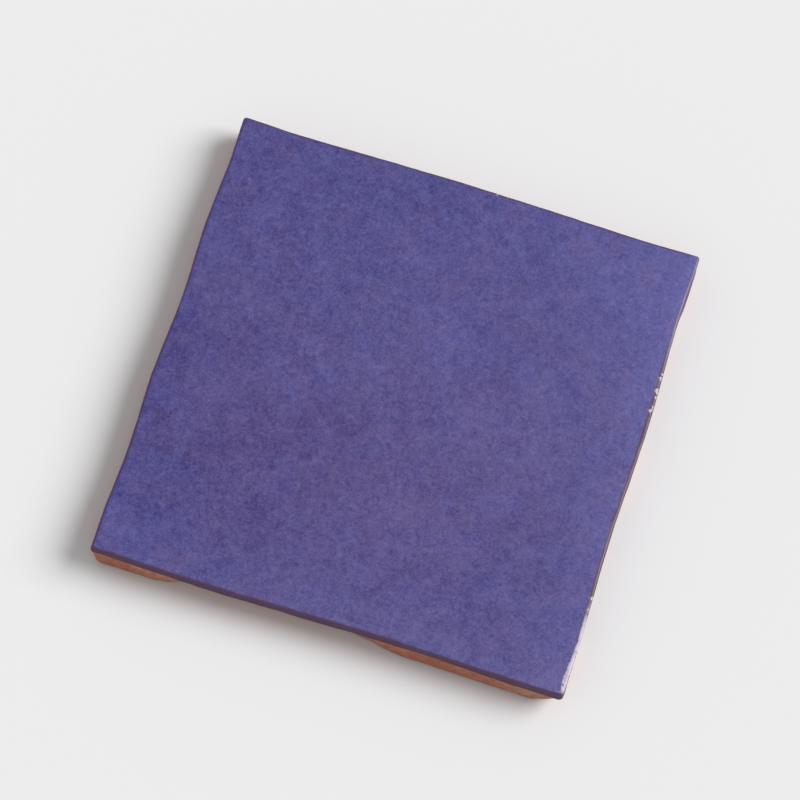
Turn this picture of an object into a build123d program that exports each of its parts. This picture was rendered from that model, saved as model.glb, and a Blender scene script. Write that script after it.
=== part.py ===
"""Zellige tile: one square of fired clay, glazed on its face and cut back by hand towards its bed.

Millimetres. The tile lies on its bed at Z = 0 with the glazed face up, centred on the origin.
The front edge is at -Y, and the edges follow anticlockwise: front, right, back, left.
"""

from build123d import *
import math
import os

# Overall size
SIDE = 130.0  # the face, from edge to edge, both ways
THICKNESS = 10.0  # from the bed to the highest swell of the face

# The face and its rim
FACE_CORNER_RADIUS = 0.9  # the face's corners, seen from above
FACE_CORNER_SETBACK = 0.3  # how far the corners draw back inside the straight line of an edge
EDGE_WANDER = 0.7  # how far an edge of the face strays inside its straight line
RIM_RADIUS = 0.6  # the glaze rolling over the face's edges
LIP_HEIGHT = 3.2  # plumb band under the rim, above the hand-cut bevel
FACE_SWELL = 0.3  # height between the hollows and the swells of the face
SWELL_LENGTH = 96.0  # from one swell to the next
SWELL_AT = (34.0, 26.0)  # where one of the swells is highest

# The bed and the hand-cut bevel above it
LEAST_UNDERCUT = 0.4  # the bed's edge inside the straight line of the face, between the cuts
CUT_DEPTH = 2.6  # how much further in the deepest cut reaches
BED_CORNER_RADII = (3.0, 9.0, 6.0, 5.0)  # front left, front right, back right, back left
BED_EDGE_WEAR = 0.6  # worn off along the bed's edges, across and up

# How each edge of the face wavers: the number of waves along it, and where it is fullest, from 0 to 1
FACE_WAVES = ((1.2, 0.22), (1.9, 0.60), (1.0, 0.47), (2.8, 0.60))

# The cuts along each edge of the bed: where a cut starts, is full from, is full to and ends, from 0 to 1
# along the edge, and its depth as a share of the deepest cut
BED_CUTS = (
    ((0.14, 0.21, 0.54, 0.72, 1.0),),
    ((0.04, 0.16, 0.34, 0.50, 0.7), (0.46, 0.66, 0.84, 0.95, 0.5)),
    ((0.06, 0.20, 0.38, 0.58, 0.6), (0.55, 0.64, 0.86, 0.94, 0.85)),
    ((0.05, 0.12, 0.30, 0.42, 0.55), (0.40, 0.60, 0.78, 0.96, 0.8)),
)

EDGE_SPANS = 24  # spans in the curve of one edge
CORNER_FADE = 0.12  # share of an edge over which its waver dies out towards a corner
SWELL_SPANS = 8  # spans in the face's surface for each swell
SURFACE_TOLERANCE = 0.001  # how closely the face's surface keeps to its height
SPARE = 1.0  # stock above and beyond the face, which the face's surface cuts away

# The travel along each edge and the way out of the tile across it
TRAVELS = (Vector(1, 0), Vector(0, 1), Vector(-1, 0), Vector(0, -1))
OUTWARDS = (Vector(0, -1), Vector(1, 0), Vector(0, 1), Vector(-1, 0))


def rise(share, start, end):
    """0 up to the start, 1 from the end on, smooth in between."""
    ramp = min(1.0, max(0.0, (share - start) / (end - start)))
    return ramp * ramp * (3.0 - 2.0 * ramp)


def stretch(share, start, full_from, full_to, end):
    """1 along the full part of a stretch of an edge, 0 outside the stretch."""
    return rise(share, start, full_from) * (1.0 - rise(share, full_to, end))


def face_setback(number, share):
    """How far an edge of the face lies inside its straight line."""
    waves, fullest = FACE_WAVES[number]
    return EDGE_WANDER * math.sin(math.pi * waves * (share - fullest)) ** 2


def bed_setback(number, share):
    """How far an edge of the bed lies inside the straight line of the face."""
    deepest = max(depth * stretch(share, *places) for *places, depth in BED_CUTS[number])
    return LEAST_UNDERCUT + CUT_DEPTH * deepest


def edge_curve(number, height, radii, corner_setback, edge_setback, inset):
    """One edge of an outline, from the end of one corner round to the start of the next."""
    travel, outward = TRAVELS[number], OUTWARDS[number]
    corner = SIDE / 2 - corner_setback
    start = radii[number] - corner
    end = corner - radii[(number + 1) % 4]
    points = []
    for step in range(EDGE_SPANS + 1):
        share = step / EDGE_SPANS
        away_from_corners = stretch(share, 0.0, CORNER_FADE, 1.0 - CORNER_FADE, 1.0)
        setback = corner_setback + away_from_corners * (edge_setback(number, share) - corner_setback)
        along = start + share * (end - start)
        points.append(travel * along + outward * (SIDE / 2 - setback - inset) + Vector(0, 0, height))
    return Spline(*points, tangents=[travel, travel])


def outline(height, radii, corner_setback, edge_setback, inset=0.0):
    """A closed outline of four wavering edges and four corner rounds, all drawn in by the inset."""
    edges = [edge_curve(number, height, radii, corner_setback, edge_setback, inset) for number in range(4)]
    pieces = []
    for number, edge in enumerate(edges):
        next_edge = edges[(number + 1) % 4]
        pieces += [edge, TangentArc(edge @ 1, next_edge @ 0, tangent=TRAVELS[number])]
    return Wire(pieces)


def bed_outline(height, inset):
    """The outline that the cuts gave the bed."""
    return outline(height, BED_CORNER_RADII, LEAST_UNDERCUT, bed_setback, inset)


def face_outline(height):
    """The outline of the face, which the lip follows straight down."""
    return outline(height, (FACE_CORNER_RADIUS,) * 4, FACE_CORNER_SETBACK, face_setback)


def blank():
    """The tile before its face is shaped: the bed's worn edge, the bevel, and the plumb lip above."""
    bed = bed_outline(0.0, BED_EDGE_WEAR)
    bevel_foot = bed_outline(BED_EDGE_WEAR, 0.0)
    lip_foot = face_outline(THICKNESS - LIP_HEIGHT)
    lip_top = face_outline(THICKNESS + SPARE)
    return Solid.make_loft([bed, bevel_foot, lip_foot, lip_top], ruled=True)


def face_height(x, y):
    """Height of the glazed face above the bed."""
    turn = 2.0 * math.pi / SWELL_LENGTH
    swell = math.cos(turn * (x - SWELL_AT[0])) * math.cos(turn * (y - SWELL_AT[1]))
    return THICKNESS - FACE_SWELL * (1.0 - swell) / 2.0


def stock_above_face():
    """What the swelling face cuts away from the top of the blank."""
    reach = SIDE / 2 + SPARE
    spans = math.ceil(2.0 * reach / SWELL_LENGTH * SWELL_SPANS)
    places = [-reach + 2.0 * reach * step / spans for step in range(spans + 1)]
    points = [[Vector(x, y, face_height(x, y)) for y in places] for x in places]
    surface = Face.make_surface_from_array_of_points(points, tol=SURFACE_TOLERANCE)
    return Solid.extrude(surface, Vector(0, 0, FACE_SWELL + 2.0 * SPARE))


def tile():
    """The finished tile, one solid."""
    shaped = (blank() - stock_above_face()).solid()
    face = shaped.faces().sort_by(Axis.Z)[-1]
    return shaped.fillet(RIM_RADIUS, face.edges())


os.makedirs("parts", exist_ok=True)
export_step(tile(), "parts/tile.step")
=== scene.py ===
"""Zellige tile: the finished look of one hand-cut square of glazed terracotta on a pale studio floor.

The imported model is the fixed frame. The tile's surface is read from it with rays and meshed finely enough
to hold nicks and clay grain. A Geometry Nodes tree roughens it, and one procedural material finishes it.
"""

import math
import random

import bpy
import numpy as np
from bpy.props import FloatProperty, FloatVectorProperty, IntProperty, PointerProperty
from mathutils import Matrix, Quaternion, Vector
from mathutils.bvhtree import BVHTree
from mathutils.geometry import delaunay_2d_cdt


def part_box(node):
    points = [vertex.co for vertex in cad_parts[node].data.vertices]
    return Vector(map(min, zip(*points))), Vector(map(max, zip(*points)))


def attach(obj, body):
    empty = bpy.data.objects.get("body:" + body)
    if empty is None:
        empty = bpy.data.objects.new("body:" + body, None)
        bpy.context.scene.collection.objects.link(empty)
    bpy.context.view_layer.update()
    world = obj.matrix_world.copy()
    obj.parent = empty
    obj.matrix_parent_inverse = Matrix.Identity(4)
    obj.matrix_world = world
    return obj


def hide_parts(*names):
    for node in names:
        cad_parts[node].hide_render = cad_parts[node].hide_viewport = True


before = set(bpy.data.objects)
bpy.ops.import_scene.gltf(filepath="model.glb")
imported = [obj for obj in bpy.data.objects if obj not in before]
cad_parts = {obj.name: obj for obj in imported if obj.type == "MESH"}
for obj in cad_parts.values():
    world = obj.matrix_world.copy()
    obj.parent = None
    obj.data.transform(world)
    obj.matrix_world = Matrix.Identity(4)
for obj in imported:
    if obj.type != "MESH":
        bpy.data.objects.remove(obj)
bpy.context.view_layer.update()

bl_info = {
    "name": "Zellige tile",
    "version": (1, 0, 0),
    "blender": (4, 5, 0),
    "location": "3D View > Sidebar > Tile",
    "description": "Dresses the zellige tile of the packed model and sets its studio",
    "category": "Object",
}

NODE = "tile"
MM = 0.001
LOW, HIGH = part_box(NODE)
HALF_SIDE = (HIGH.x - LOW.x) / 2
THICKNESS = HIGH.z - LOW.z

# The travel along each edge and the way out across it: front, right, back, left
TRAVELS = np.array([(1, 0), (0, 1), (-1, 0), (0, -1)], float)
OUTWARDS = np.array([(0, -1), (1, 0), (0, 1), (-1, 0)], float)

# How the surface is read and meshed
SECTION_DEPTH = 5.5 * MM  # from the tile's straight edge in to where the section's rays start
FACE_REACH = 4.4 * MM  # from the edge in to where the rings over the face and the bed end
LIP_MIDDLE = 1.5 * MM  # from the face down to a place on the plumb lip under the rim
CORNER_STEPS = 26  # rays that fan out round one corner
CORNER_CROWDING = 0.6  # how much closer together they lie towards its point, from 0 to 1
NICK_MARGIN = 1.0 * MM  # how far past a run of nicks the close mesh goes on
FILL_CLEARANCE = 0.7  # from a ring to the points added inside it, as a share of their spacing
MERGE_DISTANCE = 1e-6  # in mm, the distance at which two points of a fill count as one
INSIDE_TRIANGLES = 1  # the kind of fill: triangles inside the ring alone

# Runs of nicks in the rim, in mm: the edge, the first and last place along it from its middle, the number
# of nicks, and the reach, the depth and the length across the rim of one nick
NICK_RUNS = (
    (1, -41.0, -35.5, 3, 0.60, 0.24, 0.5),
    (1, 16.5, 31.5, 9, 0.80, 0.30, 0.6),
    (2, -10.0, -5.0, 3, 0.28, 0.20, 0.7),
    (3, 22.0, 28.0, 2, 0.28, 0.20, 0.7),
)
NICK_PLACES = (-0.3, 1.3)  # where a nick lies in its own share of the run
LEAST_NICK = 0.4  # the smallest nick's size, where 1 is the size that its run gives
NICK_GROWTH = 0.9  # how much larger the largest nick is
NICK_SPACING = 0.2  # in mm, between the points across the rim that make up a nick
NICK_SHIFT = 0.4  # how far these points stray along the edge, as a share of the reach
NICK_REACHES = (0.7, 1.1)  # how their reach differs

# Where the relief changes, in metres: the start and the end of each change. A point's fall is how far past
# the rim it lies, and its cover is how far above the glaze's lower edge it lies.
ONTO_SIDE = (HALF_SIDE - 9.0 * MM, HALF_SIDE - 2.0 * MM)  # across or along, onto the right or back side
PAST_CORNER = (0.5 * MM - HALF_SIDE, 8.0 * MM - HALF_SIDE)  # along, past the right side's front corner
ONTO_GLAZE = (-0.25 * MM, 0.25 * MM)  # cover, from the bare clay
ROLL_BAND = ((0.0, 0.7 * MM), (2.4 * MM, 1.0 * MM))  # cover, into and out of the glaze's rolled edge
RIM_BAND = ((-1.2 * MM, -0.2 * MM), (3.5 * MM, 1.5 * MM))  # fall, into and out of the uneven rim
BELOW_RIM = (0.5 * MM, 3.0 * MM)  # fall, from the rim onto a side
OFF_BED = (0.05 * MM, 1.5 * MM)  # above the bed, onto a side
INTO_GRAIN = (0.05 * MM, 0.7 * MM)  # above the bed, onto grainy clay
TO_CORNERS = (18.0 * MM, 56.0 * MM)  # across, from the front side's middle towards its corners
ONTO_FRONT = (8.0 * MM - HALF_SIDE, 3.0 * MM - HALF_SIDE)  # along, onto the front side
DOWN_TO_FOOT = (6.0 * MM, 2.0 * MM)  # above the bed, down onto the foot of a side
MIDDLE_BELLY = 0.35  # the belly in the middle of the front side, as a share of that by its corners
BACK_SAG = 0.5  # how far the glaze sags down the back side, as a share of the right side

# How noise shapes the relief
FULL_SWING = 4.0  # brings a centred noise to about 1 either way
RUN_LEVELS = (0.62, 0.78)  # the noise, into a run of glaze
EDGE_RIPPLE = 0.6 * MM  # small waves of the glaze's lower edge
FLUSH_GRAIN = 0.4  # the noise at which the clay's grain lies flush, and above which it sinks in
FLUSH_CHATTER = 0.4  # the same for the unevenness of the rim
FLUSH_HOLLOW = 0.45  # the same for the hollows in the sides
CHATTER_SWING = 2.0  # how much the noise of the rim's unevenness is strengthened
PORE_SPACING = 2.6 * MM
PORE_CHANCES = (0.72, 1.0)  # a cell's random number, from no pore to the widest
PORE_MOUTH = 0.34  # radius of the widest pore, as a share of the spacing
PORE_WALL = 0.16  # from a pore's edge in to its full depth, as a share of the spacing
JOLT_PERIOD = 0.5 * MM  # of the noise that makes the nicks ragged
NICK_JOLT = 0.35 * MM  # how ragged it makes them
NICK_WALL = 0.55  # from a nick's edge in to its full depth, as a share of its reach

# Where the glaze's colour changes, in metres: the start and the end of each change
RIGHT_STRIP = (HALF_SIDE - 16.0 * MM, HALF_SIDE)  # across, into the strip by the right edge, cooler and lit with painted sheen
RIGHT_EDGE = (HALF_SIDE - 4.0 * MM, HALF_SIDE - 2.0 * MM)  # across, onto the right edge itself
EDGE_SHEEN_RUN = (28.0 * MM, 42.0 * MM)  # along, into the painted sheen at the right edge's back end
COOL_BACK = (8.0 * MM, HALF_SIDE)  # along, into the cool back of the face
FRONT_STRIP = (16.0 * MM - HALF_SIDE, 4.0 * MM - HALF_SIDE)  # along, into the pale strip by the front edge
ONTO_RIM = (-0.95 * MM, -0.4 * MM)  # fall, from the face onto the rim
DOWN_LIP = (0.3 * MM, 1.1 * MM)  # fall, from the rim down the lip
GLINT_RUN = (-36.0 * MM, -47.0 * MM)  # along, into the painted glint on the right edge's rim
GLINT_STOP = (0.9 * MM - HALF_SIDE, 2.4 * MM - HALF_SIDE)  # along, into it from the front corner
GLINT_WIDENING = (-46.0 * MM, -63.0 * MM)  # along, to where the painted glint is widest
GLINT_TOP = (-0.2 * MM, 0.1 * MM)  # fall, into the painted glint from the face
GLINT_BOTTOM = (2.7 * MM, 1.9 * MM)  # fall, into it from the lip
FRINGE_BAND = (-0.55 * MM, -0.05 * MM)  # cover, into the pale line below the glaze
GLAZE_LINE = (0.0, 0.12 * MM)  # cover, from the clay onto the glaze
THINNING_BAND = (0.9 * MM, 0.1 * MM)  # cover, down to where the glaze is thin along its lower edge
DRY_LIP = (-0.3 * MM, 0.8 * MM)  # fall, onto the less glossy lip
STREAK_REACH = 0.8 * MM  # how ragged the change over the rim is
RIGHT_REACH = 0.35 * MM  # how much further in that change lies on the right edge
RAGGED_TOP = 0.9 * MM  # how ragged the painted glint is along its top
RAGGED_BOTTOM = 1.6 * MM  # how ragged it is along its bottom
RAGGED_EDGE = 0.9 * MM  # how ragged the glaze's lower edge is

# The noise at which a colour starts to show and at which it shows in full
BLUE_TINGE = (0.48, 0.72)
PLUM_TINGE = (0.52, 0.28)
THICK_RUNS = (0.46, 0.76)
THIN_RUNS = (0.50, 0.28)
GLINT_FLECKS = (0.32, 0.50)
DUST = (0.62, 0.92)
IRON = (0.52, 0.30)
BREAKS = (0.16, 0.34)  # here it is how far inside a nick a point lies

# How strongly the colours and the gloss change, as shares
PATCH_FLOOR = 0.35  # what the noise leaves of a warm or cool patch where it is weakest
COOL_RIGHT = 0.5  # cool clouds in the strip by the right edge
SHEEN_RIGHT = 0.05  # painted sheen in that strip
EDGE_SHEEN_LIGHT = 0.08  # painted sheen at the right edge's back end
DRIFT_LIGHT = 0.22  # light in the glaze's broad clouds
RIM_STRENGTH = 0.85  # the rim's colour over the glaze's
RIM_FADE = 0.55  # how much less of it there is under the painted sheen at the right edge's back end
LIP_STRENGTH = 0.9  # the lip's colour over the glaze's
RUN_STRETCH = 0.45  # how much height counts in the lip's pattern, so that its runs are drawn out downwards
GLINT_STRENGTH = 0.85  # the painted glint's colour over the glaze's
BREAK_STRENGTH = 0.9  # the bared body's colour in a nick
CRUMBLY_DUST = 0.4  # the clay's crumbs in the pattern of its dust
RAGGED_BREAK = 0.7  # how ragged the bared body's outline is
SHEEN_SWING = 0.12  # how much the glaze's roughness differs from place to place
PEEL_HEIGHT = 0.25  # the glaze's soft skin in the bump
GRIT_HEIGHT = 0.08  # the grit under the glaze in the bump
BUMP_STRENGTH = 0.6
BUMP_HEIGHT = 0.12 * MM
SPECK_CORE = 0.5  # share of a speck's radius that shows in full

# Soft round patches on the face, in mm from the tile's middle: across, along, the reach and the strength
WARM_PATCHES = ((-24.0, -24.0, 46.0, 1.0), (16.0, -22.0, 44.0, 1.0))
COOL_PATCHES = (
    (8.0, 22.0, 13.0, 0.9),
    (-62.0, -62.0, 34.0, 0.9),
    (68.0, 60.0, 44.0, 1.0),
    (68.0, 24.0, 22.0, 0.5),
)
LIGHT_PATCHES = (
    (-34.0, -34.0, 38.0, -0.035),
    (44.0, -42.0, 32.0, -0.045),
    (8.0, 22.0, 15.0, 0.035),
    (-62.0, 18.0, 24.0, 0.035),
    # Painted sheen at the back right corner
    (66.0, 56.0, 50.0, 0.05),
    (-62.0, -64.0, 30.0, 0.06),
)

# The studio
FLOOR_REACH = 12.0  # in metres, from the tile's middle out to the floor's edges
FLOOR_GAP = 0.02 * MM  # between the floor and the bed
FLOOR_ROUGHNESS = 0.9
FLOOR_GLOSS = 0.1
SENSOR_WIDTH = 36.0  # of the camera, in mm
CLIP_NEAR = 0.01  # in metres, the nearest that the camera sees
CLIP_FAR = 100.0  # in metres, the furthest


def length(name, description, default):
    """A property that holds a length in metres."""
    return FloatProperty(
        name=name,
        description=description,
        default=default,
        min=0.0,
        precision=5,
        subtype="DISTANCE",
        unit="LENGTH",
    )


def share(name, description, default):
    """A property that holds a share from 0 to 1."""
    return FloatProperty(
        name=name, description=description, default=default, min=0.0, max=1.0, subtype="FACTOR"
    )


def amount(name, description, default, unit="NONE"):
    """A property that holds a number of 0 or more."""
    return FloatProperty(name=name, description=description, default=default, min=0.0, unit=unit)


def turn(name, description, degrees):
    """A property that holds an angle."""
    angle = math.radians(degrees)
    return FloatProperty(name=name, description=description, default=angle, subtype="ANGLE", unit="ROTATION")


def linear(level):
    """The linear value of one 8-bit sRGB level."""
    part = level / 255.0
    return part / 12.92 if part <= 0.04045 else ((part + 0.055) / 1.055) ** 2.4


def colour(name, description, red, green, blue):
    """A property that holds a colour, given as 8-bit sRGB levels."""
    return FloatVectorProperty(
        name=name,
        description=description,
        default=(linear(red), linear(green), linear(blue)),
        min=0.0,
        max=1.0,
        size=3,
        subtype="COLOR",
    )


class ZelligeForm(bpy.types.PropertyGroup):
    """Sizes of the tile's mesh and of its relief."""

    edge_step: length("Edge step", "Spacing of the mesh along the tile's edges", 0.42 * MM)
    nick_step: length("Nick step", "Spacing of the mesh along the edges where they are nicked", 0.16 * MM)
    rim_step: length("Rim step", "Spacing of the mesh across the rolled rim", 0.15 * MM)
    side_step: length("Side step", "Spacing of the mesh down the sides", 0.40 * MM)
    face_step: length("Face step", "Spacing of the mesh over the face", 0.85 * MM)
    bed_step: length("Bed step", "Spacing of the mesh over the bed", 2.5 * MM)
    face_ripple: length("Face ripple", "Height of the glaze's soft unevenness", 0.05 * MM)
    side_hollow: length("Side hollow", "Depth of the hollows that the hand left in the sides", 0.50 * MM)
    foot_swell: length("Foot swell", "How far the front side's foot bellies out", 0.50 * MM)
    rim_chatter: length("Rim chatter", "Unevenness that the cutting left along the rim", 0.16 * MM)
    clay_relief: length("Clay relief", "Depth of the bare clay's roughness", 0.14 * MM)
    pore_depth: length("Pore depth", "Depth of the open pores in the bare clay", 0.35 * MM)
    glaze_drop: length("Glaze drop", "How far below the face the glaze ends on average", 3.3 * MM)
    glaze_wander: length("Glaze wander", "How much that reach changes along the edges", 0.7 * MM)
    glaze_run: length("Glaze run", "How much further single runs of glaze reach down", 1.4 * MM)
    glaze_sag: length("Glaze sag", "How much further it reaches down the right side", 3.8 * MM)
    glaze_thickness: length("Glaze thickness", "How far the glaze stands proud of the clay", 0.12 * MM)
    glaze_roll: length("Glaze roll", "How far the glaze bulges out along its lower edge", 0.18 * MM)
    seed: IntProperty(name="Seed", description="Start of the random relief", default=7, min=0)


class ZelligeColours(bpy.types.PropertyGroup):
    """Colours and gloss of the glaze and of the clay."""

    violet: colour("Violet", "The glaze's main colour", 76, 69, 129)
    blue: colour("Blue", "The glaze where it is thick and cool", 73, 70, 136)
    plum: colour("Plum", "The glaze where it is thin and warm", 81, 67, 124)
    rim: colour("Rim", "The glaze broken thin over the rim", 72, 36, 64)
    lip: colour("Lip", "The thin glaze down the lip", 77, 47, 77)
    # Painted glint: a pale stand-in for the lamp's sheen on the rim at the front end of the right edge
    rim_glint: colour("Pale rim", "The rubbed rim at the front end of the right edge", 196, 188, 208)
    pinhole: colour("Pinhole", "Pinholes in the glaze", 52, 42, 76)
    fringe: colour("Fringe", "The pale line where the glaze ends on the clay", 196, 150, 126)
    clay: colour("Clay", "The bare terracotta", 172, 103, 78)
    dust: colour("Dust", "Pale dust on the bare terracotta", 192, 142, 118)
    iron: colour("Iron", "Dark iron grains in the terracotta", 92, 56, 44)
    break_face: colour("Break", "Pale body bared in a nick", 208, 193, 196)
    mottle: amount("Mottle", "Contrast of the glaze's grain", 1.33)
    # Grey added wherever the glaze is lighter, both in its own clouds and grain and in its painted sheen
    bloom_and_sheen: share("Bloom", "How grey the glaze pales where it is lighter", 0.136)
    # Painted sheen: how much the glaze is made paler towards the right edge
    sheen_slant: share("Slant", "How much the glaze pales from the left edge to the right", 0.055)
    glaze_roughness: share("Glaze roughness", "Roughness of the satin glaze", 0.40)
    clay_roughness: share("Clay roughness", "Roughness of the bare clay", 0.88)


class TileStudio(bpy.types.PropertyGroup):
    """The camera, the lights and the floor."""

    azimuth: turn("Azimuth", "Turn of the camera round the tile from the front edge", 10.35)
    elevation: turn("Elevation", "Height of the camera above the horizon", 70.46)
    roll: turn("Roll", "Turn of the camera about its own view", 7.55)
    distance: length("Distance", "From the camera to the tile's face", 1.157)
    focal_length: amount("Focal length", "The camera's lens, in millimetres", 196.0, "CAMERA")
    floor: colour("Floor", "The pale floor", 236, 236, 237)
    key_strength: amount("Key strength", "Strength of the soft lamp", 2.82)
    key_azimuth: turn("Key azimuth", "Turn of the lamp round the tile from the front edge", 117.0)
    key_elevation: turn("Key elevation", "Height of the lamp above the horizon", 39.0)
    key_width: turn("Key width", "Angle that the lamp covers, seen from the tile", 38.0)
    fill: amount("Fill", "Strength of the light from all round", 0.44)


def graded(end, first, last):
    """Distances from 0 to end, in steps that grow from about first to about last."""
    steps = max(2, round(2.0 * end / (first + last)))
    widths = np.linspace(first, last, steps)
    marks = np.concatenate(([0.0], np.cumsum(widths)))
    return marks * end / marks[-1]


def surface_tree(node):
    """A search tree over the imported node's surface."""
    mesh = node.data
    return BVHTree.FromPolygons([v.co for v in mesh.vertices], [p.vertices for p in mesh.polygons])


def edge_places(edge, half, form):
    """Places along one edge, closer together where its rim is nicked, from -half up to half."""
    nicked = [(first * MM, last * MM) for number, first, last, *_ in NICK_RUNS if number == edge]
    places = [-half]
    while places[-1] < half:
        near_nick = any(first - NICK_MARGIN < places[-1] < last + NICK_MARGIN for first, last in nicked)
        places.append(places[-1] + (form.nick_step if near_nick else form.edge_step))
    return np.array(places[:-1])


def perimeter_rays(form):
    """Starting points and outward directions of the section planes, anticlockwise round the tile.

    Round a corner the directions lengthen, to reach the corner of a square.
    """
    foot_half = HALF_SIDE - SECTION_DEPTH
    fan = np.linspace(0.0, math.pi / 2, CORNER_STEPS, endpoint=False)
    fan += CORNER_CROWDING * np.sin(4.0 * fan) / 4.0
    feet, ways = [], []
    for edge, (travel, outward) in enumerate(zip(TRAVELS, OUTWARDS)):
        along = edge_places(edge, foot_half, form)
        feet.append(outward * foot_half + along[:, None] * travel)
        ways.append(np.tile(outward, (len(along), 1)))
        feet.append(np.tile((outward + travel) * foot_half, (CORNER_STEPS, 1)))
        round_corner = np.cos(fan)[:, None] * outward + np.sin(fan)[:, None] * travel
        ways.append(round_corner / np.abs(round_corner).max(axis=1, keepdims=True))
    return np.concatenate(feet), np.concatenate(ways)


def section_marks(form):
    """Points of a plain square section from the face over the rim and down to the bed: out and up."""
    half = THICKNESS / 2
    face = graded(FACE_REACH, form.rim_step, form.face_step)[::-1]
    side = graded(half, form.rim_step, form.side_step)
    lower = half + graded(half, form.side_step, form.side_step)[1:]
    bed = graded(FACE_REACH, form.side_step, form.bed_step)[1:]
    marks = [(SECTION_DEPTH - d, half) for d in face]
    marks += [(SECTION_DEPTH, half - d) for d in np.concatenate((side[1:], lower))]
    marks += [(SECTION_DEPTH - d, -half) for d in bed]
    return np.array(marks)


def cast_rings(tree, feet, ways, marks):
    """Where the rays through each mark of each section meet the tile's surface, ring by ring."""
    middle = (LOW.z + HIGH.z) / 2
    rings = np.zeros((len(marks), len(feet), 3))
    for ring, (out, up) in enumerate(marks):
        for place, (foot, way) in enumerate(zip(feet, ways)):
            start = Vector((foot[0], foot[1], middle))
            ray = Vector((way[0] * out, way[1] * out, up))
            hit = tree.ray_cast(start, ray)[0] or tree.find_nearest(start + ray)[0]
            rings[ring, place] = hit
    return rings


def ring_falls(rings, feet, ways):
    """How far each point of the rings lies past the rim: negative on the face, growing down the side."""
    straight = ways / np.linalg.norm(ways, axis=1, keepdims=True)
    inward = ((rings[:, :, :2] - feet) * straight).sum(axis=2)
    inward = inward.max(axis=0) - inward
    down = rings[0, :, 2] - rings[:, :, 2]
    return np.where(down < LIP_MIDDLE, down - inward, down + inward)


def staggered_points(half, step):
    """A staggered grid of points over a square about the origin."""
    row_step = step * math.sqrt(3.0) / 2.0
    rows = int(half / row_step)
    columns = int(half / step) + 1
    points = []
    for row in range(-rows, rows + 1):
        shift = 0.5 * step * (row % 2)
        points += [(column * step + shift, row * row_step) for column in range(-columns, columns + 1)]
    return [p for p in points if abs(p[0]) <= half]


def fill_ring(ring, step):
    """A fill of a closed ring: a staggered grid of added points, and triangles over them and the ring."""
    inner_half = np.abs(ring).max(axis=1).min() - FILL_CLEARANCE * step
    added = staggered_points(inner_half, step)
    points = [Vector(p) / MM for p in [*ring, *added]]
    count = len(ring)
    edges = [(i, (i + 1) % count) for i in range(count)]
    fill = delaunay_2d_cdt(points, edges, [], INSIDE_TRIANGLES, MERGE_DISTANCE)
    triangles, originals = fill[2:4]
    return added, [[originals[corner][0] for corner in triangle] for triangle in triangles]


def face_level(tree, x, y):
    """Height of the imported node's face above one point."""
    return tree.ray_cast(Vector((x, y, HIGH.z + THICKNESS)), Vector((0, 0, -1)))[0].z


def tile_mesh(form):
    """The fine mesh of the tile: rings over its edges, and staggered triangles over its face and bed."""
    tree = surface_tree(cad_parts[NODE])
    feet, ways = perimeter_rays(form)
    rings = cast_rings(tree, feet, ways, section_marks(form))
    ring_count, around = rings.shape[:2]
    numbers = np.arange(ring_count * around).reshape(ring_count, around)
    following = np.roll(numbers, -1, axis=1)
    quads = np.stack((numbers[:-1], numbers[1:], following[1:], following[:-1]), axis=-1).reshape(-1, 4)
    points = list(rings.reshape(-1, 3))
    falls = list(ring_falls(rings, feet, ways).ravel())
    faces = quads.tolist()

    # The ring to fill, the spacing, the height of a point, its fall and the order of a triangle's corners
    fills = (
        (0, form.face_step, lambda x, y: face_level(tree, x, y), -FACE_REACH - form.face_step, 1),
        (-1, form.bed_step, lambda x, y: LOW.z, THICKNESS + FACE_REACH + form.bed_step, -1),
    )
    for ring, step, level, fall, order in fills:
        added, triangles = fill_ring(rings[ring, :, :2], step)
        renumbered = [*numbers[ring], *range(len(points), len(points) + len(added))]
        faces += [[renumbered[corner] for corner in triangle[::order]] for triangle in triangles]
        points += [(x, y, level(x, y)) for x, y in added]
        falls += [fall] * len(added)

    mesh = bpy.data.meshes.new("tile_surface")
    mesh.from_pydata([tuple(p) for p in points], [], faces)
    mesh.attributes.new("fall", "FLOAT", "POINT").data.foreach_set("value", np.array(falls, np.float32))
    mesh.shade_smooth()
    return mesh, tree


def rim_point(tree, edge, along, fall):
    """The point of the tile's surface at a place along an edge and a fall over its rim."""
    foot = OUTWARDS[edge] * (HALF_SIDE - SECTION_DEPTH) + TRAVELS[edge] * along
    out = SECTION_DEPTH + min(0.0, fall)
    up = THICKNESS / 2 - max(0.0, fall)
    return tree.ray_cast(Vector((*foot, THICKNESS / 2)), Vector((*(OUTWARDS[edge] * out), up)))[0]


def nick_points(tree, seed):
    """A mesh of loose points, a row across the rim for each nick, with their reach and depth."""
    draw = random.Random(seed)
    points, reaches, depths = [], [], []
    for edge, first, last, count, reach, depth, length_across in NICK_RUNS:
        for number in range(count):
            along = first + (last - first) * (number + draw.uniform(*NICK_PLACES)) / count
            size = LEAST_NICK + NICK_GROWTH * draw.random() ** 2
            half_length = 0.5 * length_across * size
            for fall in np.arange(-half_length, half_length, NICK_SPACING):
                place = along + draw.uniform(-NICK_SHIFT, NICK_SHIFT) * reach
                points.append(rim_point(tree, edge, place * MM, fall * MM))
                reaches.append(reach * size * draw.uniform(*NICK_REACHES) * MM)
                depths.append(depth * size * MM)
    mesh = bpy.data.meshes.new("nicks")
    mesh.from_pydata(points, [], [])
    mesh.attributes.new("reach", "FLOAT", "POINT").data.foreach_set("value", reaches)
    mesh.attributes.new("depth", "FLOAT", "POINT").data.foreach_set("value", depths)
    return mesh


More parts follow.
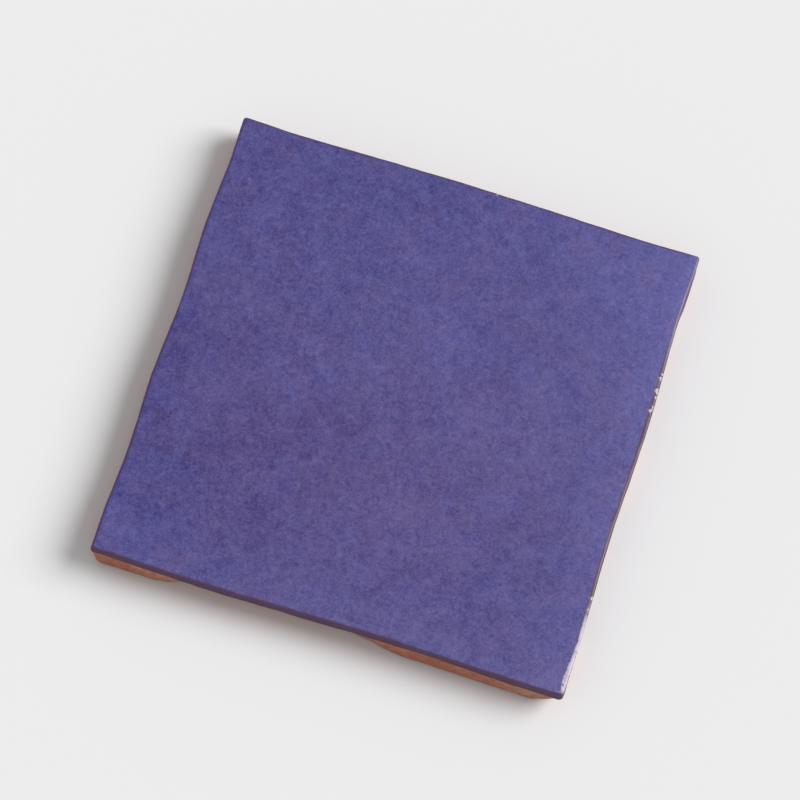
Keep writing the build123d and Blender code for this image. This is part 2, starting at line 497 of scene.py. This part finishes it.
def add_node(tree, kind, inputs=(), **settings):
    """Adds a node to a tree, with its settings, and fills or links its inputs, named or numbered."""
    node = tree.nodes.new(kind)
    for name, value in settings.items():
        setattr(node, name, value)
    for key, value in dict(inputs).items():
        if isinstance(value, bpy.types.NodeSocket):
            tree.links.new(value, node.inputs[key])
        else:
            node.inputs[key].default_value = value
    return node


def sum_up(tree, operation, first, second=0.0, third=0.0):
    """One step of arithmetic on values."""
    return add_node(tree, "ShaderNodeMath", {0: first, 1: second, 2: third}, operation=operation).outputs[0]


def add_up(tree, first, *more):
    """The sum of several values."""
    for value in more:
        first = sum_up(tree, "ADD", first, value)
    return first


def times(tree, first, *more):
    """The product of several values."""
    for value in more:
        first = sum_up(tree, "MULTIPLY", first, value)
    return first


def less(tree, first, second=0.5):
    """One value less another: half, to centre a noise, where no other is given."""
    return sum_up(tree, "SUBTRACT", first, second)


def sum_up_vectors(tree, operation, inputs):
    """One step of arithmetic on places or colours."""
    return add_node(tree, "ShaderNodeVectorMath", inputs, operation=operation).outputs[0]


def distance(tree, first, second):
    """The distance between two places."""
    node = add_node(tree, "ShaderNodeVectorMath", {0: first, 1: second}, operation="DISTANCE")
    return node.outputs["Value"]


def split(tree, places):
    """A place's three coordinates: across to the right, along to the back, and up."""
    return add_node(tree, "ShaderNodeSeparateXYZ", {0: places}).outputs


def smooth_range(tree, value, start, end, low=0.0, high=1.0):
    """A smooth change from low to high while a value goes from start to end."""
    inputs = {"Value": value, "From Min": start, "From Max": end, "To Min": low, "To Max": high}
    return add_node(tree, "ShaderNodeMapRange", inputs, interpolation_type="SMOOTHSTEP").outputs[0]


def clouds(tree, places, period, detail=3.0, roughness=0.5, moment=0.0):
    """Soft noise whose patches are about one period across, from 0 to 1. Each moment gives other patches."""
    inputs = {
        "Vector": places,
        "W": moment,
        "Scale": 1.0 / period,
        "Detail": detail,
        "Roughness": roughness,
    }
    return add_node(tree, "ShaderNodeTexNoise", inputs, noise_dimensions="4D").outputs[0]


def mix_colours(tree, factor, first, second):
    """One colour passing into another."""
    first, second = ((*c, 1.0) if not isinstance(c, bpy.types.NodeSocket) else c for c in (first, second))
    inputs = {0: factor, 6: first, 7: second}
    return add_node(tree, "ShaderNodeMix", inputs, data_type="RGBA", clamp_factor=True).outputs[2]


RELIEF_LENGTHS = (
    "face_ripple",
    "side_hollow",
    "foot_swell",
    "rim_chatter",
    "clay_relief",
    "pore_depth",
    "glaze_drop",
    "glaze_wander",
    "glaze_run",
    "glaze_sag",
    "glaze_thickness",
    "glaze_roll",
)


def relief_interface(tree):
    """The relief tree's inputs and output."""
    kinds = {"Geometry": "Geometry", "nicks": "Object", "finish": "Material", "seed": "Float"}
    kinds.update(dict.fromkeys(RELIEF_LENGTHS, "Float"))
    tree.interface.new_socket("Geometry", in_out="OUTPUT", socket_type="NodeSocketGeometry")
    for name, kind in kinds.items():
        tree.interface.new_socket(name, in_out="INPUT", socket_type="NodeSocket" + kind)


def stored(tree, name):
    """A value stored on the points of a mesh."""
    return add_node(tree, "GeometryNodeInputNamedAttribute", {"Name": name}, data_type="FLOAT").outputs[0]


def later(tree, inputs, step):
    """A moment of noise that is so many steps after the seed."""
    return sum_up(tree, "ADD", inputs["seed"], step)


def glaze_cover(tree, inputs, places):
    """How far above the glaze's lower edge a point lies, in metres: negative on the bare clay."""
    plan = sum_up_vectors(tree, "MULTIPLY", {0: places, 1: (1.0, 1.0, 0.0)})
    slow = clouds(tree, plan, 24.0 * MM, moment=inputs["seed"])
    quick = clouds(tree, plan, 5.0 * MM, detail=1.0, moment=later(tree, inputs, 3.0))
    wander = times(tree, less(tree, slow), inputs["glaze_wander"], FULL_SWING)
    run = times(tree, smooth_range(tree, quick, *RUN_LEVELS), inputs["glaze_run"])
    ripple = times(tree, less(tree, quick), EDGE_RIPPLE)
    across, along, up = split(tree, places)
    right_side = times(tree, smooth_range(tree, across, *ONTO_SIDE), smooth_range(tree, along, *PAST_CORNER))
    back_side = smooth_range(tree, along, *ONTO_SIDE, high=BACK_SAG)
    sagging = sum_up(tree, "MAXIMUM", right_side, back_side)
    about_one = add_up(tree, quick, 0.5)
    sag = times(tree, sagging, about_one, inputs["glaze_sag"])
    reach = add_up(tree, inputs["glaze_drop"], wander, run, ripple, sag)
    return less(tree, reach, less(tree, HIGH.z, up))


def clay_depth(tree, inputs, places, above_bed):
    """How far the bare clay's grain and pores sink in: pores alone on the bed, which lies flat."""
    grain = clouds(tree, places, 2.4 * MM, detail=5.0, roughness=0.6, moment=later(tree, inputs, 5.0))
    grain = times(tree, less(tree, grain, FLUSH_GRAIN), smooth_range(tree, above_bed, *INTO_GRAIN))
    pores = add_node(tree, "ShaderNodeTexVoronoi", {"Vector": places, "Scale": 1.0 / PORE_SPACING})
    chance = split(tree, pores.outputs["Color"])[0]
    mouth = smooth_range(tree, chance, *PORE_CHANCES, high=PORE_MOUTH)
    pore = smooth_range(tree, less(tree, mouth, pores.outputs["Distance"]), 0.0, PORE_WALL)
    return add_up(tree, times(tree, grain, inputs["clay_relief"]), times(tree, pore, inputs["pore_depth"]))


def nick_depth(tree, inputs, places):
    """How far the nicks sink in, and how far inside one a point lies: 1 in its middle, 0 at its edge."""
    nicks = add_node(tree, "GeometryNodeObjectInfo", {"Object": inputs["nicks"]}).outputs["Geometry"]
    noise = {"Vector": places, "Scale": 1.0 / JOLT_PERIOD, "Detail": 2.0}
    jolt = add_node(tree, "ShaderNodeTexNoise", noise).outputs["Color"]
    jolt = sum_up_vectors(tree, "SUBTRACT", {0: jolt, 1: (0.5,) * 3})
    shaken = sum_up_vectors(tree, "MULTIPLY_ADD", {0: jolt, 1: (NICK_JOLT,) * 3, 2: places})
    search = {"Geometry": nicks, "Sample Position": shaken}
    nearest = add_node(tree, "GeometryNodeSampleNearest", search).outputs[0]

    def of_nearest(value, data_type="FLOAT"):
        """What the nearest point of a nick holds."""
        sample = {"Geometry": nicks, "Value": value, "Index": nearest}
        return add_node(tree, "GeometryNodeSampleIndex", sample, data_type=data_type).outputs[0]

    middle = of_nearest(add_node(tree, "GeometryNodeInputPosition").outputs[0], "FLOAT_VECTOR")
    away = sum_up(tree, "DIVIDE", distance(tree, shaken, middle), of_nearest(stored(tree, "reach")))
    inside = less(tree, 1.0, away)
    depth = times(tree, smooth_range(tree, inside, 0.0, NICK_WALL), of_nearest(stored(tree, "depth")))
    return depth, inside


def rim_unevenness(tree, inputs, places, fall):
    """How far the uneven cutting sinks the rim."""
    into, out_of = (smooth_range(tree, fall, *band) for band in RIM_BAND)
    chatter = clouds(tree, places, 4.0 * MM, roughness=0.6, moment=later(tree, inputs, 13.0))
    on_rim = sum_up(tree, "MINIMUM", into, out_of)
    return times(tree, less(tree, chatter, FLUSH_CHATTER), on_rim, inputs["rim_chatter"], CHATTER_SWING)


def front_belly(tree, inputs, across, along, above_bed):
    """How far the front side's foot bellies out, most of all towards its corners."""
    return times(
        tree,
        smooth_range(tree, sum_up(tree, "ABSOLUTE", across), *TO_CORNERS, low=MIDDLE_BELLY),
        smooth_range(tree, along, *ONTO_FRONT),
        smooth_range(tree, above_bed, *DOWN_TO_FOOT),
        inputs["foot_swell"],
    )


def face_unevenness(tree, inputs, places):
    """The soft swells of the glaze, above and below 0."""
    broad, close = (clouds(tree, places, period * MM, moment=inputs["seed"]) for period in (30.0, 9.0))
    return less(tree, add_up(tree, broad, broad, close), 1.5)


def relief_tree():
    """Geometry Nodes that roughen the tile: rippled glaze, grainy clay, hollows down the sides and nicks."""
    tree = bpy.data.node_groups.new("tile_relief", "GeometryNodeTree")
    relief_interface(tree)
    inputs = add_node(tree, "NodeGroupInput").outputs
    places = add_node(tree, "GeometryNodeInputPosition").outputs[0]
    normal = add_node(tree, "GeometryNodeInputNormal").outputs[0]
    fall = stored(tree, "fall")
    across, along, up = split(tree, places)
    above_bed = less(tree, up, LOW.z)

    cover = glaze_cover(tree, inputs, places)
    glazed = smooth_range(tree, cover, *ONTO_GLAZE)
    bare = less(tree, 1.0, glazed)
    roll = times(tree, *(smooth_range(tree, cover, *band) for band in ROLL_BAND))
    below_rim = smooth_range(tree, fall, *BELOW_RIM)
    beside = sum_up(tree, "MINIMUM", below_rim, smooth_range(tree, above_bed, *OFF_BED))
    hollow = clouds(tree, places, 13.0 * MM, detail=2.0, moment=later(tree, inputs, 9.0))
    nick, inside = nick_depth(tree, inputs, places)

    raised = add_up(
        tree,
        times(tree, face_unevenness(tree, inputs, places), inputs["face_ripple"], glazed),
        times(tree, roll, inputs["glaze_roll"]),
    )
    sunk = add_up(
        tree,
        times(tree, clay_depth(tree, inputs, places, above_bed), bare),
        times(tree, bare, beside, inputs["glaze_thickness"]),
        times(tree, less(tree, hollow, FLUSH_HOLLOW), beside, inputs["side_hollow"]),
        rim_unevenness(tree, inputs, places, fall),
        nick,
    )
    offset = sum_up_vectors(tree, "SCALE", {0: normal, "Scale": less(tree, raised, sunk)})
    belly = front_belly(tree, inputs, across, along, above_bed)
    forward = add_node(tree, "ShaderNodeCombineXYZ", {1: belly}).outputs[0]
    offset = sum_up_vectors(tree, "MULTIPLY_ADD", {0: normal, 1: forward, 2: offset})

    shape = inputs[0]
    for name, value in (("cover", cover), ("nick", inside)):
        row = {0: shape, "Name": name, "Value": value}
        shape = add_node(tree, "GeometryNodeStoreNamedAttribute", row).outputs[0]
    shape = add_node(tree, "GeometryNodeSetPosition", {0: shape, "Offset": offset}).outputs[0]
    shape = add_node(tree, "GeometryNodeRealizeInstances", {0: shape}).outputs[0]
    shape = add_node(tree, "GeometryNodeSetMaterial", {0: shape, "Material": inputs["finish"]}).outputs[0]
    add_node(tree, "NodeGroupOutput", {0: shape})
    return tree


def spots(tree, places, spacing, chance, size, weight=1.0):
    """Scattered round specks: a mask."""
    cells = add_node(tree, "ShaderNodeTexVoronoi", {"Vector": places, "Scale": 1.0 / spacing})
    kept = sum_up(tree, "LESS_THAN", split(tree, cells.outputs["Color"])[1], chance)
    radius = size / spacing
    speck = smooth_range(tree, cells.outputs["Distance"], radius, SPECK_CORE * radius, high=weight)
    return times(tree, speck, kept)


def patches(tree, places, rows):
    """Soft round patches on the face, added up."""
    total = 0.0
    for x, y, reach, strength in rows:
        away = distance(tree, places, (x * MM, y * MM, THICKNESS))
        total = add_up(tree, smooth_range(tree, away, reach * MM, 0.0, high=strength), total)
    return total


def glaze_hue(tree, colours, places, along, by_right):
    """The violet glaze with its warm and its cool clouds."""
    warm = patches(tree, places, WARM_PATCHES)
    cool = add_up(
        tree,
        smooth_range(tree, along, *COOL_BACK, high=0.6),
        patches(tree, places, COOL_PATCHES),
        times(tree, by_right, COOL_RIGHT),
    )
    hue = clouds(tree, places, 22.0 * MM, detail=2.0, moment=1.3)
    warm = times(tree, warm, add_up(tree, hue, PATCH_FLOOR))
    cool = times(tree, cool, less(tree, 1.0 + PATCH_FLOOR, hue))
    body = mix_colours(tree, warm, colours.violet, colours.plum)
    body = mix_colours(tree, cool, body, colours.blue)
    tinge = clouds(tree, places, 8.0 * MM, roughness=0.6, moment=6.4)
    body = mix_colours(tree, smooth_range(tree, tinge, *BLUE_TINGE, high=0.7), body, colours.blue)
    return mix_colours(tree, smooth_range(tree, tinge, *PLUM_TINGE, high=0.6), body, colours.plum)


def glaze_light(tree, colours, places, across, along, by_right, edge_sheen):
    """How much lighter than its plain colour the glaze is, as a share: negative where it is darker. Part of
    it is painted sheen, growing towards the right edge, at that edge's back end and at the back right corner.
    """
    drift = less(tree, clouds(tree, places, 16.0 * MM, detail=2.0, moment=4.1))
    grain = less(tree, clouds(tree, places, 3.2 * MM, detail=4.0, roughness=1.15, moment=8.2))
    return add_up(
        tree,
        # Painted sheen, paler towards the right edge
        times(tree, across, colours.sheen_slant / HALF_SIDE),
        times(tree, drift, DRIFT_LIGHT),
        times(tree, grain, colours.mottle),
        patches(tree, places, LIGHT_PATCHES),
        # Painted sheen in the strip by the right edge, and more at that edge's back end
        times(tree, by_right, SHEEN_RIGHT),
        times(tree, edge_sheen, EDGE_SHEEN_LIGHT),
        smooth_range(tree, along, *FRONT_STRIP, high=0.04),
        spots(tree, places, spacing=3.4 * MM, chance=0.30, size=0.55 * MM, weight=0.07),
    )


def over_rim(tree, colours, places, body, rounded, edge_sheen):
    """The glaze broken thin over the rim, less so under the painted sheen at the right edge's back end, and
    its runs down the lip.
    """
    onto_rim = smooth_range(tree, rounded, *ONTO_RIM)
    down_lip = smooth_range(tree, rounded, *DOWN_LIP)
    broken_thin = times(tree, onto_rim, sum_up(tree, "MULTIPLY_ADD", edge_sheen, -RIM_FADE, RIM_STRENGTH))
    body = mix_colours(tree, broken_thin, body, colours.rim)
    body = mix_colours(tree, times(tree, down_lip, LIP_STRENGTH), body, colours.lip)
    drawn_out = sum_up_vectors(tree, "MULTIPLY", {0: places, 1: (1.0, 1.0, RUN_STRETCH)})
    runs = clouds(tree, drawn_out, 5.0 * MM, detail=4.0, roughness=0.6, moment=1.7)
    thick = times(tree, down_lip, smooth_range(tree, runs, *THICK_RUNS, high=0.32))
    thin = times(tree, down_lip, smooth_range(tree, runs, *THIN_RUNS, high=0.60))
    body = mix_colours(tree, thick, body, colours.violet)
    return mix_colours(tree, thin, body, colours.rim)


def painted_rim_glint(tree, places, along, right_edge, rounded):
    """The stretch of the right edge's rim painted with a pale glint of sheen, broken into flecks by noise: a
    mask.
    """
    flecks = clouds(tree, places, 1.4 * MM, roughness=0.7, moment=3.9)
    widening = smooth_range(tree, along, *GLINT_WIDENING, high=0.6 * MM)
    top = add_up(tree, rounded, widening, times(tree, flecks, RAGGED_TOP))
    bottom = add_up(tree, rounded, times(tree, flecks, RAGGED_BOTTOM))
    return times(
        tree,
        right_edge,
        smooth_range(tree, along, *GLINT_RUN),
        smooth_range(tree, along, *GLINT_STOP),
        smooth_range(tree, top, *GLINT_TOP),
        smooth_range(tree, bottom, *GLINT_BOTTOM),
        smooth_range(tree, flecks, *GLINT_FLECKS),
    )


def glaze_colour(tree, colours, places, fall):
    """The violet glaze: its clouds, grain and specks, painted sheen towards the right edge, its break over
    the rim, and a painted glint on the rim by the right edge's front end.
    """
    across, along, _ = split(tree, places)
    by_right = smooth_range(tree, across, *RIGHT_STRIP)
    right_edge = smooth_range(tree, across, *RIGHT_EDGE)
    # Painted sheen along the right edge's back end
    edge_sheen = times(tree, right_edge, smooth_range(tree, along, *EDGE_SHEEN_RUN))
    body = glaze_hue(tree, colours, places, along, by_right)
    light = glaze_light(tree, colours, places, across, along, by_right, edge_sheen)
    # Lighter places are scaled up and greyed; part of that lightness is painted sheen
    body = sum_up_vectors(tree, "SCALE", {0: body, "Scale": add_up(tree, light, 1.0)})
    body = sum_up_vectors(tree, "MULTIPLY_ADD", {0: light, 1: (colours.bloom_and_sheen,) * 3, 2: body})
    pinholes = spots(tree, places, spacing=7.0 * MM, chance=0.16, size=0.28 * MM, weight=0.6)
    body = mix_colours(tree, pinholes, body, colours.pinhole)
    streaks = less(tree, clouds(tree, places, 6.0 * MM, roughness=0.6, moment=2.7))
    rounded = add_up(tree, fall, times(tree, streaks, STREAK_REACH), times(tree, right_edge, RIGHT_REACH))
    body = over_rim(tree, colours, places, body, rounded, edge_sheen)
    # A painted glint of sheen on the right edge's rim, by its front end
    glinting = painted_rim_glint(tree, places, along, right_edge, rounded)
    return mix_colours(tree, times(tree, glinting, GLINT_STRENGTH), body, colours.rim_glint)


def clay_colour(tree, colours, places):
    """Terracotta with pale dust and dark grains."""
    drift = clouds(tree, places, 15.0 * MM, detail=4.0, roughness=0.6, moment=6.0)
    crumb = clouds(tree, places, 1.6 * MM, detail=4.0, roughness=0.65, moment=2.0)
    dusty = add_up(tree, drift, times(tree, crumb, CRUMBLY_DUST))
    body = mix_colours(tree, smooth_range(tree, dusty, *DUST, high=0.6), colours.clay, colours.dust)
    body = mix_colours(tree, smooth_range(tree, crumb, *IRON, high=0.45), body, colours.iron)
    grains = spots(tree, places, spacing=2.2 * MM, chance=0.30, size=0.30 * MM, weight=0.8)
    return mix_colours(tree, grains, body, colours.iron)


def tile_finish(colours):
    """The tile's one material: satin glaze over terracotta, with nicks down to the pale body."""
    material = bpy.data.materials.new("glaze_on_terracotta")
    material.use_nodes = True
    tree = material.node_tree
    shader = tree.nodes["Principled BSDF"]
    places = add_node(tree, "ShaderNodeTexCoord").outputs["Object"]
    fall, cover, nick = (
        add_node(tree, "ShaderNodeAttribute", attribute_name=name).outputs["Fac"]
        for name in ("fall", "cover", "nick")
    )
    ragged = less(tree, clouds(tree, places, 0.9 * MM, roughness=0.6, moment=5.5))
    edge = add_up(tree, cover, times(tree, ragged, RAGGED_EDGE))
    glazed = smooth_range(tree, edge, *GLAZE_LINE)
    fringed = smooth_range(tree, edge, *FRINGE_BAND, high=0.4)
    thinning = smooth_range(tree, edge, *THINNING_BAND, high=0.6)
    broken = smooth_range(tree, add_up(tree, nick, times(tree, ragged, RAGGED_BREAK)), *BREAKS)

    clay = mix_colours(tree, fringed, clay_colour(tree, colours, places), colours.fringe)
    glaze = mix_colours(tree, thinning, glaze_colour(tree, colours, places, fall), colours.rim)
    surface = mix_colours(tree, glazed, clay, glaze)
    surface = mix_colours(tree, times(tree, broken, BREAK_STRENGTH), surface, colours.break_face)
    tree.links.new(surface, shader.inputs["Base Color"])

    smooth = times(tree, glazed, less(tree, 1.0, broken))
    dry_lip = smooth_range(tree, fall, *DRY_LIP, high=0.36)
    cloudy = times(tree, clouds(tree, places, 5.0 * MM), SHEEN_SWING)
    sheen = add_up(tree, colours.glaze_roughness - SHEEN_SWING / 2, cloudy, dry_lip)
    rough = add_node(tree, "ShaderNodeMix", {0: smooth, 2: colours.clay_roughness, 3: sheen}).outputs[0]
    tree.links.new(rough, shader.inputs["Roughness"])

    grit = clouds(tree, places, 0.5 * MM, detail=4.0, roughness=0.7, moment=9.0)
    peel = times(tree, clouds(tree, places, 1.8 * MM, detail=2.0, moment=7.0), PEEL_HEIGHT)
    skin = add_up(tree, peel, times(tree, grit, GRIT_HEIGHT))
    relief = add_node(tree, "ShaderNodeMix", {0: smooth, 2: grit, 3: skin}).outputs[0]
    bumps = {"Strength": BUMP_STRENGTH, "Distance": BUMP_HEIGHT, "Height": relief}
    bump = add_node(tree, "ShaderNodeBump", bumps)
    tree.links.new(bump.outputs[0], shader.inputs["Normal"])
    return material


class OBJECT_OT_make_zellige_tile(bpy.types.Operator):
    """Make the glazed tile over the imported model"""

    bl_idname = "object.make_zellige_tile"
    bl_label = "Make zellige tile"

    def execute(self, context):
        form = context.scene.zellige_form
        mesh, tree = tile_mesh(form)
        tile = bpy.data.objects.new("zellige_tile", mesh)
        nicks = bpy.data.objects.new("nicks", nick_points(tree, form.seed))
        for piece in (tile, nicks):
            context.scene.collection.objects.link(piece)
        finish = tile_finish(context.scene.zellige_colours)
        modifier = tile.modifiers.new("relief", "NODES")
        modifier.node_group = relief_tree()
        values = {"nicks": nicks, "finish": finish, "seed": float(form.seed)}
        values.update({name: getattr(form, name) for name in RELIEF_LENGTHS})
        for socket in modifier.node_group.interface.items_tree:
            if socket.in_out == "INPUT" and socket.name in values:
                modifier[socket.identifier] = values[socket.name]
        context.view_layer.update()
        relieved = bpy.data.meshes.new_from_object(tile.evaluated_get(context.evaluated_depsgraph_get()))
        tile.modifiers.remove(modifier)
        tile.data = relieved
        bpy.data.objects.remove(nicks)
        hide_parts(NODE)
        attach(tile, "root")
        return {"FINISHED"}


def direction(azimuth, elevation):
    """The way from the tile out to a place at that azimuth and elevation. Azimuth 0 is in front."""
    level = math.cos(elevation)
    return Vector((math.sin(azimuth) * level, -math.cos(azimuth) * level, math.sin(elevation)))


def make_floor(studio):
    """The pale floor."""
    mesh = bpy.data.meshes.new("floor")
    corners = [(-1, -1), (1, -1), (1, 1), (-1, 1)]
    points = [(x * FLOOR_REACH, y * FLOOR_REACH, LOW.z - FLOOR_GAP) for x, y in corners]
    mesh.from_pydata(points, [], [(0, 1, 2, 3)])
    floor = bpy.data.objects.new("floor", mesh)
    material = bpy.data.materials.new("pale_floor")
    material.use_nodes = True
    shader = material.node_tree.nodes["Principled BSDF"]
    shader.inputs["Base Color"].default_value = (*studio.floor, 1.0)
    shader.inputs["Roughness"].default_value = FLOOR_ROUGHNESS
    shader.inputs["Specular IOR Level"].default_value = FLOOR_GLOSS
    mesh.materials.append(material)
    bpy.context.scene.collection.objects.link(floor)


def make_lights(studio):
    """One broad soft lamp from the back right, as strong all over the floor, and even light all round."""
    lamp = bpy.data.lights.new("key", "SUN")
    lamp.energy = studio.key_strength
    lamp.angle = studio.key_width
    key = bpy.data.objects.new("key", lamp)
    way = direction(studio.key_azimuth, studio.key_elevation)
    key.location = way
    key.rotation_mode = "QUATERNION"
    key.rotation_quaternion = (-way).to_track_quat("-Z", "Y")
    bpy.context.scene.collection.objects.link(key)
    world = bpy.data.worlds.new("studio")
    world.use_nodes = True
    tree = world.node_tree
    background = tree.nodes["Background"]
    background.inputs["Color"].default_value = (1.0, 1.0, 1.0, 1.0)
    paths = add_node(tree, "ShaderNodeLightPath").outputs
    seen = add_up(tree, *(paths["Is %s Ray" % kind] for kind in ("Camera", "Glossy", "Transmission")))
    strength = add_node(tree, "ShaderNodeMix", {0: seen, 2: studio.fill, 3: studio.floor[1]})
    tree.links.new(strength.outputs[0], background.inputs["Strength"])
    bpy.context.scene.world = world


def make_camera(studio):
    """The camera, which looks down on the tile."""
    lens = bpy.data.cameras.new("camera")
    lens.lens = studio.focal_length
    lens.sensor_width = SENSOR_WIDTH
    lens.clip_start = CLIP_NEAR
    lens.clip_end = CLIP_FAR
    camera = bpy.data.objects.new("camera", lens)
    way = direction(studio.azimuth, studio.elevation)
    camera.location = way * studio.distance + Vector((0.0, 0.0, HIGH.z))
    level_view = (-way).to_track_quat("-Z", "Y")
    camera.rotation_mode = "QUATERNION"
    camera.rotation_quaternion = level_view @ Quaternion((0.0, 0.0, 1.0), studio.roll)
    bpy.context.scene.collection.objects.link(camera)
    bpy.context.scene.camera = camera


class SCENE_OT_set_tile_studio(bpy.types.Operator):
    """Set the floor, the lights and the camera"""

    bl_idname = "scene.set_tile_studio"
    bl_label = "Set tile studio"

    def execute(self, context):
        studio = context.scene.tile_studio
        make_floor(studio)
        make_lights(studio)
        make_camera(studio)
        context.scene.view_settings.view_transform = "Standard"
        return {"FINISHED"}


class VIEW3D_PT_zellige_tile(bpy.types.Panel):
    """Sizes, colours and studio of the zellige tile"""

    bl_label = "Zellige tile"
    bl_space_type = "VIEW_3D"
    bl_region_type = "UI"
    bl_category = "Tile"

    def draw(self, context):
        layout = self.layout
        scene = context.scene
        groups = (
            (scene.zellige_form, OBJECT_OT_make_zellige_tile),
            (scene.zellige_colours, None),
            (scene.tile_studio, SCENE_OT_set_tile_studio),
        )
        for group, operator in groups:
            box = layout.box()
            for name in group.__annotations__:
                box.prop(group, name)
            if operator is not None:
                box.operator(operator.bl_idname)


CLASSES = (
    ZelligeForm,
    ZelligeColours,
    TileStudio,
    OBJECT_OT_make_zellige_tile,
    SCENE_OT_set_tile_studio,
    VIEW3D_PT_zellige_tile,
)


def register():
    """Registers the classes and their settings."""
    for kind in CLASSES:
        bpy.utils.register_class(kind)
    bpy.types.Scene.zellige_form = PointerProperty(type=ZelligeForm)
    bpy.types.Scene.zellige_colours = PointerProperty(type=ZelligeColours)
    bpy.types.Scene.tile_studio = PointerProperty(type=TileStudio)


def unregister():
    """Removes the settings and the classes."""
    del bpy.types.Scene.tile_studio
    del bpy.types.Scene.zellige_colours
    del bpy.types.Scene.zellige_form
    for kind in reversed(CLASSES):
        bpy.utils.unregister_class(kind)


def main():
    """Builds the tile and its studio."""
    register()
    bpy.ops.object.make_zellige_tile()
    bpy.ops.scene.set_tile_studio()


if __name__ == "__main__":
    main()
